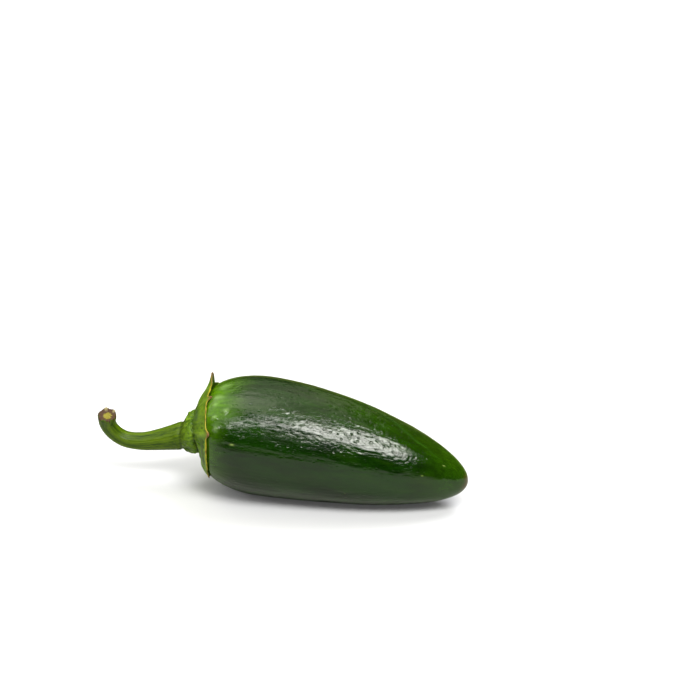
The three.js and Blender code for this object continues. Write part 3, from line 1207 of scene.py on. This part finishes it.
@dataclass
class CalyxAndStalk:
    """The green saucer on the pod's shoulder and the curved stalk that grows from it, one surface."""

    pod: Pod
    line: StalkLine = field(default_factory=StalkLine)
    gap: float = 0.16
    edge: float = 0.42
    edge_rounding: float = 0.14
    edge_mean: float = 3.6
    edge_near: float = 0.55
    edge_top: float = 0.45
    edge_sides: float = 0.9
    edge_fill: float = 0.6
    stand_off_at: float = 100.0
    stand_off_width: float = 32.0
    stand_off_height: float = 0.9
    saddle: tuple[float, float] = (2.05, 10.8)
    blade_swell: float = 0.3
    vein_width: float = 5.0
    vein_height: float = 0.42
    vein_line: float = 2.6
    teeth: tuple[Tooth, ...] = (
        Tooth(23, 0.95, 0.35, 3.6),
        Tooth(66, 1.5, 0.3),
        Tooth(103, -0.2, 3.3, 4.6, 3.4),
        Tooth(146, 1.3, 1.2, 4.2),
        Tooth(200, 0.8, 0.3, 3.0),
        Tooth(257, 0.8, 0.3, 3.0),
        Tooth(317, 0.25, 0.25, 4.0),
    )
    radius_at: tuple[float, ...] = (
        *(0, 0.02, 0.042, 0.068, 0.094, 0.12, 0.14, 0.158, 0.18, 0.23, 0.3, 0.38),
        *(0.46, 0.54, 0.61, 0.68, 0.75, 0.81, 0.87, 0.92, 0.96, 0.985, 1),
    )
    radii: tuple[float, ...] = (
        *(6.15, 6.4, 6.35, 6.0, 5.55, 4.95, 4.3, 4.02, 4.12, 3.85, 3.5, 3.15),
        *(2.85, 2.65, 2.5, 2.4, 2.35, 2.35, 2.4, 2.5, 2.65, 2.75, 2.55),
    )
    ring_turns: tuple[tuple[float, float], ...] = (
        *((0, 0.7), (0.07, 0.6), (0.14, 0.05)),
        *((0.18, 0.1), (0.36, 1), (1, 1)),
    )
    rib_count: int = 6
    rib_height: float = 0.05
    line_count: int = 23
    line_height: float = 0.04
    knob_angles: tuple[float, ...] = (140.0, 205.0)
    knob_height: float = 0.5
    knob_width: float = 16.0
    end_radius: float = 1.7
    end_dish: float = 0.35
    # Angle and width of the lower side, where the painted shade is deepest.
    under: float = -35.0
    under_width: float = 60.0
    sides: int = 420
    noise: Lattice = field(default_factory=lambda: Lattice(21))

    def __post_init__(self) -> None:
        """Works out the angles, the share of painted shade on the lower side, and the shoulder moved out by
        the gap.
        """
        self.angles = np.arange(self.sides) * TURN / self.sides
        shares = np.linspace(0, 1, 60)
        tangent = bezier_tangent(self.pod.shoulder, shares)
        outward = np.stack([-tangent[:, 1], tangent[:, 0]], axis=-1)
        self.clearance = bezier(self.pod.shoulder, shares) + self.gap * outward
        self.lower = 0.3 + 0.7 * bump(self.angles, self.under, self.under_width)

    def clear_radius(self, forward: Array) -> Array:
        """The least radius of the underside at each distance forward."""
        return np.interp(forward, self.clearance[:, 0], self.clearance[:, 1])

    def ragged(self, scale: float, shift: float) -> Array:
        """Smooth noise round the turn.

        Args:
            scale: The circle's radius in lattice cells: the larger, the shorter the swings.
            shift: The circle's height in cells.

        Returns:
            The noise read on that circle, one value for each angle.
        """
        angle = np.radians(self.angles)
        circle = [np.cos(angle) * scale, np.sin(angle) * scale, np.full_like(angle, shift)]
        return self.noise.noise(np.stack(circle, axis=-1))

    def inner_edge(self, tooth_share: Array | float) -> Array:
        """The blade's inner edge round the turn.

        Args:
            tooth_share: How much of each tooth's reach is in it.

        Returns:
            Rows of (forward, radius): slow waves and a ragged line forward, resting on the shoulder or
            standing off it, with a narrow bell at each tooth.
        """
        angle = np.radians(self.angles)
        forward = self.edge_mean + self.edge_near * np.cos(angle) + self.edge_top * np.sin(angle)
        forward = forward + self.edge_sides * np.cos(2 * angle) + self.edge_fill * bump(self.angles, 82, 11)
        forward = forward + 0.16 * self.ragged(5, 3.3) + 0.09 * self.ragged(16, 8.1)
        out = self.stand_off_height * bump(self.angles, self.stand_off_at, self.stand_off_width)
        for tooth in self.teeth:
            share = tooth_share * bump(self.angles, tooth.at, tooth.width, tooth.power)
            forward = forward + tooth.forward * share
            out = out + tooth.out * share
        return np.stack([forward, self.clear_radius(forward) + out], axis=-1)

    def underside(self, share: float) -> Array:
        """The underside, a share of the way from the saddle to the edge, kept outside the pod."""
        row = np.array(self.saddle) * (1 - share) + self.inner_edge(share**4) * share
        return np.stack([row[:, 0], np.maximum(row[:, 1], self.clear_radius(row[:, 0]))], axis=-1)

    def blade_normal(self) -> Array:
        """The direction square to the blade, away from the pod, as (forward, radius)."""
        run = unit(self.inner_edge(0.0) - np.array(self.saddle))
        return np.stack([-run[:, 1], run[:, 0]], axis=-1)

    def rim(self, lift: float, tooth_share: float) -> Array:
        """The blade's rounded rim.

        Args:
            lift: 0 at its inner edge, 1 at its outer one.
            tooth_share: How much of each tooth's reach is in it.

        Returns:
            Rows of (forward, radius), lifted along the blade's normal and rounded outwards by a parabola.
        """
        normal = self.blade_normal()
        outward = np.stack([normal[:, 1], -normal[:, 0]], axis=-1)
        rounding = self.edge_rounding * (1 - (2 * lift - 1) ** 2)
        return self.inner_edge(tooth_share) + normal * self.edge * lift + outward * rounding

    def on_pod(self, rows: Array) -> Array:
        """Rows of (forward, radius) round the turn as points in space."""
        return self.pod.place(rows[:, 0], rows[:, 1], self.angles)

    def stalk_ring(self, fraction: float, radii: Array | float) -> Array:
        """One ring of the stalk.

        Args:
            fraction: Share of the stalk's length.
            radii: Radius at each angle.

        Returns:
            Points round the middle line, on a plane that turns from square to the pod to square to the
            stalk.
        """
        centre, tangent = self.line.at(fraction)
        turn = through_rows(self.ring_turns, fraction)
        forward = unit(bezier_tangent(self.pod.line, 0.0) * (1 - turn) - tangent * turn)
        return around(centre, across(forward), self.angles, np.broadcast_to(radii, self.sides))

    def stalk_radii(self, fraction: float) -> Array:
        """The stalk's radius round the turn.

        Args:
            fraction: Share of the stalk's length.

        Returns:
            The rows' value there plus ribs, fine lines and the foot's lumps.
        """
        base = through_rows(np.stack([self.radius_at, self.radii], axis=-1), fraction)
        ribbed = smoothstep(fraction, 0.15, 0.35)
        lined = smoothstep(fraction, 0.13, 0.2) * (1 - 0.6 * fraction)
        sway = 9 * self.ragged(2, fraction * 3)
        ribs = self.rib_height * np.cos(np.radians(self.rib_count * (self.angles - self.teeth[0].at) + sway))
        lines = self.line_height * np.cos(np.radians(self.line_count * self.angles + 5 * sway))
        lumpy = 1 - smoothstep(fraction, 0.1, 0.16)
        lumps = 0.4 * self.ragged(3.4, fraction * 22) + 0.3 * self.ragged(8, 5 + fraction * 40)
        return base + ribs * ribbed + lines * lined + lumps * lumpy

    def outer_face(self, share: float) -> Array:
        """The calyx's outer face.

        Args:
            share: Share of the way from the edge to the crease where the stalk's foot begins.

        Returns:
            Points on straight runs between both, lifted by a sine swell that is higher along each tooth's
            vein, with small radial ridges.
        """
        start = self.on_pod(self.rim(1.0, (1 - share) ** 6))
        end = self.stalk_ring(0.0, self.stalk_radii(0.0))
        vein = sum(bump(self.angles, tooth.at, self.vein_width) for tooth in self.teeth)
        ridges = 0.16 * self.ragged(26, 2 + 2 * share) + 0.24 * self.ragged(9, 4 + 4 * share)
        lift = np.sin(np.pi * share) * (self.blade_swell + self.vein_height * vein + ridges)
        normal = self.blade_normal()
        axis = bezier_tangent(self.pod.line, 0.0)
        outward = around(np.zeros(3), across(axis), self.angles, normal[:, 1]) + axis * normal[:, :1]
        return start * (1 - share) + end * share + outward * lift[:, None]

    def build(self) -> bpy.types.Object:
        """Builds the piece from the torn end, over the stalk and the blade, to the middle of the underside.

        Returns:
            The closed mesh object.
        """
        stack = RingStack(self.angles)
        self._add_end(stack)
        self._add_stalk(stack)
        tooth = sum(bump(self.angles, t.at, t.width) for t in self.teeth)
        self._add_blade(stack, tooth)
        self._add_underside(stack)
        last = self.pod.on_line(self.pod.seat_depth - self.pod.seat_dish - self.gap)
        return stack.loft(self._end_ring(0.0).mean(axis=0), last).to_object("calyx_and_stalk_visual")

    def _end_ring(self, radius: float) -> Array:
        """A ring of the torn end's hollow face, rough by a small noise."""
        rough = 0.16 * self.ragged(4, 11 + radius) * min(radius, 1.0)
        return self.stalk_ring(1.0, radius) + self.line.at(1.0)[1] * (-self.end_dish + rough)[:, None]

    def _add_end(self, stack: RingStack) -> None:
        """Adds the torn end's face with its ragged disc of pith.

        Args:
            stack: The rings so far.
        """
        fringe = 0.25 * self.ragged(3, 3.1) + 0.12 * self.ragged(9, 5.1)
        for radius in np.linspace(0.25, self.end_radius, 7):
            pith = 1 - smoothstep(radius + fringe, 1.05, 1.45)
            ring = self._end_ring(radius)
            stack.add(ring, self.line.length, radius, torn=1.0, pith=pith, stalk=1.0, rib=0.5)

    def _add_stalk(self, stack: RingStack) -> None:
        """Adds the rings from the torn end's ragged rim to the stalk's foot.

        Args:
            stack: The rings so far.
        """
        _, direction = self.line.at(1.0)
        knob = sum(bump(self.angles, angle, self.knob_width) for angle in self.knob_angles)
        ridge = knob * self.knob_height + 0.1 * self.ragged(6, 14) + 0.1
        runs = ((1, 0.94, 16), (0.94, 0.2, 96), (0.2, 0, 44))
        fractions = [1.0, *(fraction for run in runs for fraction in np.linspace(*run)[1:])]
        ribs = 0.5 + 0.5 * np.cos(np.radians(self.rib_count * (self.angles - self.teeth[0].at)))
        for at in fractions:
            radii = self.stalk_radii(at)
            lifted = direction * (ridge * smoothstep(at, 0.965, 1.0))[:, None]
            torn = smoothstep(at + 0.014 * self.ragged(7, 4), 0.984, 0.997)
            ribbed = smoothstep(at, 0.15, 0.3)
            # Painted shade in the crease at the stalk's neck, and at its foot on the lower side.
            neck = np.exp(-(((at - 0.152) / 0.011) ** 2))
            foot = 1 - smoothstep(at, 0.0, 0.03)
            stack.add(
                self.stalk_ring(at, radii) + lifted,
                at * self.line.length,
                radii,
                stalk=smoothstep(at, 0.0, 0.17),
                rib=ribs * ribbed + 0.5 * (1 - ribbed),
                torn=torn,
                groove=0.4 * neck + 0.8 * foot * self.lower,
                knob=torn * smoothstep(knob, 0.4, 0.8),
            )

    def _add_blade(self, stack: RingStack, tooth: Array) -> None:
        """Adds the calyx's outer face and its rim.

        Args:
            stack: The rings so far.
            tooth: How much of a tooth is at each angle.
        """
        vein = sum(bump(self.angles, t.at, self.vein_line) for t in self.teeth)
        for share in np.linspace(1, 0, 40)[1:-1]:
            # Painted shade near the crease at the stalk's foot, patchy and deepest on the lower side.
            pits = self.ragged(7, 1.7 + 3 * share) + 0.5 * self.ragged(17, 3 * share)
            patchy_shade = smoothstep(pits, -0.5, 0.4)
            near_crease_shade = smoothstep(share, 0.58, 0.9) * (0.25 + 0.75 * patchy_shade) * self.lower
            stack.add(
                self.outer_face(share),
                4 * share - 4,
                10 - 3 * share,
                edge=(1 - smoothstep(share, 0.0, 0.02)) * 0.7,
                vein=vein * (1 - 0.5 * share),
                groove=near_crease_shade * (1 - 0.7 * vein),
                rib=0.5,
                tooth=tooth * (1 - smoothstep(share, 0.0, 0.1)),
            )
        thin = 0.3 + 0.25 * self.ragged(11, 6.2)
        for lift in np.linspace(1, 0, 7):
            margin = smoothstep(lift - thin, 0.0, 0.3)
            ring = self.on_pod(self.rim(lift, 1.0))
            # Painted shade on the rim's inner part, under its edge.
            stack.add(ring, lift - 5.2, 10.0, edge=margin, groove=0.6 * (1 - margin), tooth=tooth, rib=0.5)

    def _add_underside(self, stack: RingStack) -> None:
        """Adds the blade's underside and the rings over the pod's seat.

        Args:
            stack: The rings so far.
        """
        for share in np.linspace(1, 0, 12)[1:]:
            ring = self.on_pod(self.underside(share))
            # Painted shade under the blade.
            stack.add(ring, -5.4 - 3 * (1 - share), 10.0, groove=0.5, rib=0.5)
        for share in (0.7, 0.35):
            forward = self.pod.seat_depth - self.pod.seat_dish * (1 - share) - self.gap
            rows = np.broadcast_to([forward, self.pod.seat_radius * share], (self.sides, 2))
            # Painted shade over the pod's seat.
            stack.add(self.on_pod(rows), -9.0, 10 * share, groove=0.5, rib=0.5)


def facing(azimuth: float, elevation: float, roll: float = 0.0) -> Array:
    """The axes of a light or a camera that faces the pepper.

    Args:
        azimuth: Its angle round the vertical, counted from the near side.
        elevation: Its angle above the floor.
        roll: Its turn round the direction that it faces.

    Returns:
        Its right, up and backward directions, one a column.
    """
    a, e, turn = (math.radians(angle) for angle in (azimuth, elevation, roll))
    back = np.array([math.sin(a) * math.cos(e), -math.cos(a) * math.cos(e), math.sin(e)])
    level = np.array([math.cos(a), math.sin(a), 0.0])
    right = level * math.cos(turn) + np.cross(back, level) * math.sin(turn)
    return np.stack([right, np.cross(back, right), back]).T


def pose(axes: Array, place: Array | tuple[float, float, float]) -> Matrix:
    """The matrix of an object whose own axes are the columns of axes and whose origin is at place."""
    return Matrix([[*row, shift] for row, shift in zip(axes, place)] + [[0.0, 0.0, 0.0, 1.0]])


@dataclass(frozen=True)
class Softbox:
    """A soft rectangular light that faces the pepper."""

    name: str
    azimuth: float
    elevation: float
    distance: float
    width: float
    height: float
    radiance: float
    roll: float = 0.0
    mirrored: bool = True
    tint: tuple[float, float, float] = (1.0, 1.0, 0.94)

    def build(self, target: Array) -> None:
        """Places the light, with a power of pi times its radiance and its area.

        Args:
            target: The point it faces, in metres.
        """
        data = bpy.data.lights.new(self.name, "AREA")
        data.shape = "RECTANGLE"
        data.size, data.size_y = self.width, self.height
        data.energy = self.radiance * math.pi * self.width * self.height
        data.color = self.tint
        axes = facing(self.azimuth, self.elevation, self.roll)
        made = put(self.name, data)
        made.matrix_world = pose(axes, target + axes[:, 2] * self.distance)
        made.visible_camera = False
        made.visible_glossy = self.mirrored


@dataclass
class Studio:
    """Floor, lights, surroundings and camera."""

    target: tuple[float, float, float] = (0.0, 0.0, 0.018)
    floor_size: float = 6.0
    floor_height: float = -0.00002
    lights: tuple[Softbox, ...] = (
        Softbox("key_softbox", 36.5, 53.0, 0.9, 0.52, 0.32, 16.0, -40.5),
        Softbox("key_border", 37.5, 53.0, 0.91, 0.6, 0.44, 2.5, -40.5),
        Softbox("key_spill", -24.8, 48.4, 0.9, 0.8, 0.12, 11.0, 42.6),
        Softbox("low_strip", 5, 28, 0.9, 0.36, 0.12, 1.0),
        Softbox("overhead", -100, 72, 0.9, 0.6, 0.5, 1.8, tint=(1.0, 1.0, 0.8)),
        Softbox("overhead_border", -150, 76, 0.95, 1.0, 0.9, 0.8, tint=(1.0, 1.0, 0.8)),
        Softbox("left_wall", -90, 38, 1.2, 1.6, 0.8, 0.9),
        Softbox("back_panel", 146, 59, 1.6, 1.1, 0.8, 9.0, mirrored=False, tint=(1.0, 1.0, 1.0)),
        Softbox("back_sheen", -168, 38, 1.6, 1.1, 1.1, 0.5, tint=(1.0, 1.0, 0.75)),
    )
    surround: float = 0.02
    backdrop: float = 1.0
    eye: tuple[float, float, float] = (0.112442, -0.487490, 0.279406)
    camera_azimuth: float = 11.5
    camera_elevation: float = 25.0
    lens: float = 100.0

    def build(self) -> None:
        """Builds everything that isn't part of the pepper."""
        self._floor()
        self._world()
        for light in self.lights:
            light.build(np.array(self.target))
        self._camera()
        bpy.context.scene.view_settings.view_transform = "Standard"

    def _floor(self) -> None:
        """A flat sheet under the pepper, far wider than the view."""
        half = self.floor_size / 2
        corners = [(-half, -half), (half, -half), (half, half), (-half, half)]
        mesh = bpy.data.meshes.new("floor")
        mesh.from_pydata([(x, y, self.floor_height) for x, y in corners], [], [(0, 1, 2, 3)])
        mesh.materials.append(StudioPaper().material())
        floor = put("floor", mesh)

    def _world(self) -> None:
        """Dim surroundings for light and reflections, and a pale backdrop for the camera itself."""
        world = bpy.data.worlds.new("studio")
        world.use_nodes = True
        world.node_tree.nodes.clear()
        graph = Graph(world.node_tree)
        dim = graph.node("Background", {"Color": (1, 1, 1, 1), "Strength": self.surround})
        pale = graph.node("Background", {"Color": (1, 1, 1, 1), "Strength": self.backdrop})
        camera_ray = graph.node("LightPath").outputs["Is Camera Ray"]
        mixed = graph.node("MixShader", {0: camera_ray, 1: dim.outputs[0], 2: pale.outputs[0]})
        graph.node("OutputWorld", {"Surface": mixed.outputs[0]})
        bpy.context.scene.world = world

    def _camera(self) -> None:
        """The camera at the photograph's viewing angle, with its frame's middle on the optical axis."""
        data = bpy.data.cameras.new("camera")
        data.lens = self.lens
        data.clip_start, data.clip_end = 0.01, 20.0
        camera = put("camera", data)
        camera.matrix_world = pose(facing(self.camera_azimuth, self.camera_elevation), self.eye)
        bpy.context.scene.camera = camera


def dress(piece: bpy.types.Object, node: str, material: bpy.types.Material) -> None:
    """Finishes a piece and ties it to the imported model.

    Args:
        piece: The new object.
        node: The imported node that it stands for, whose body it rides on.
        material: Its material.
    """
    piece.data.materials.append(material)
    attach(piece, "root")
    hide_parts(node)
    LOG.info("%s: %d faces, stands for %s", piece.name, len(piece.data.polygons), node)


def main() -> None:
    """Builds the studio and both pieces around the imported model."""
    logging.basicConfig(level=logging.INFO, format="%(message)s")
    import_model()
    Studio().build()
    groups = Groups()
    pod = Pod()
    dress(pod.build(), "pod", PodSkin().material(groups))
    calyx = CalyxAndStalk(pod)
    dress(calyx.build(), "calyx_and_stalk", StalkSkin().material(groups))


if __name__ == "__main__":
    main()
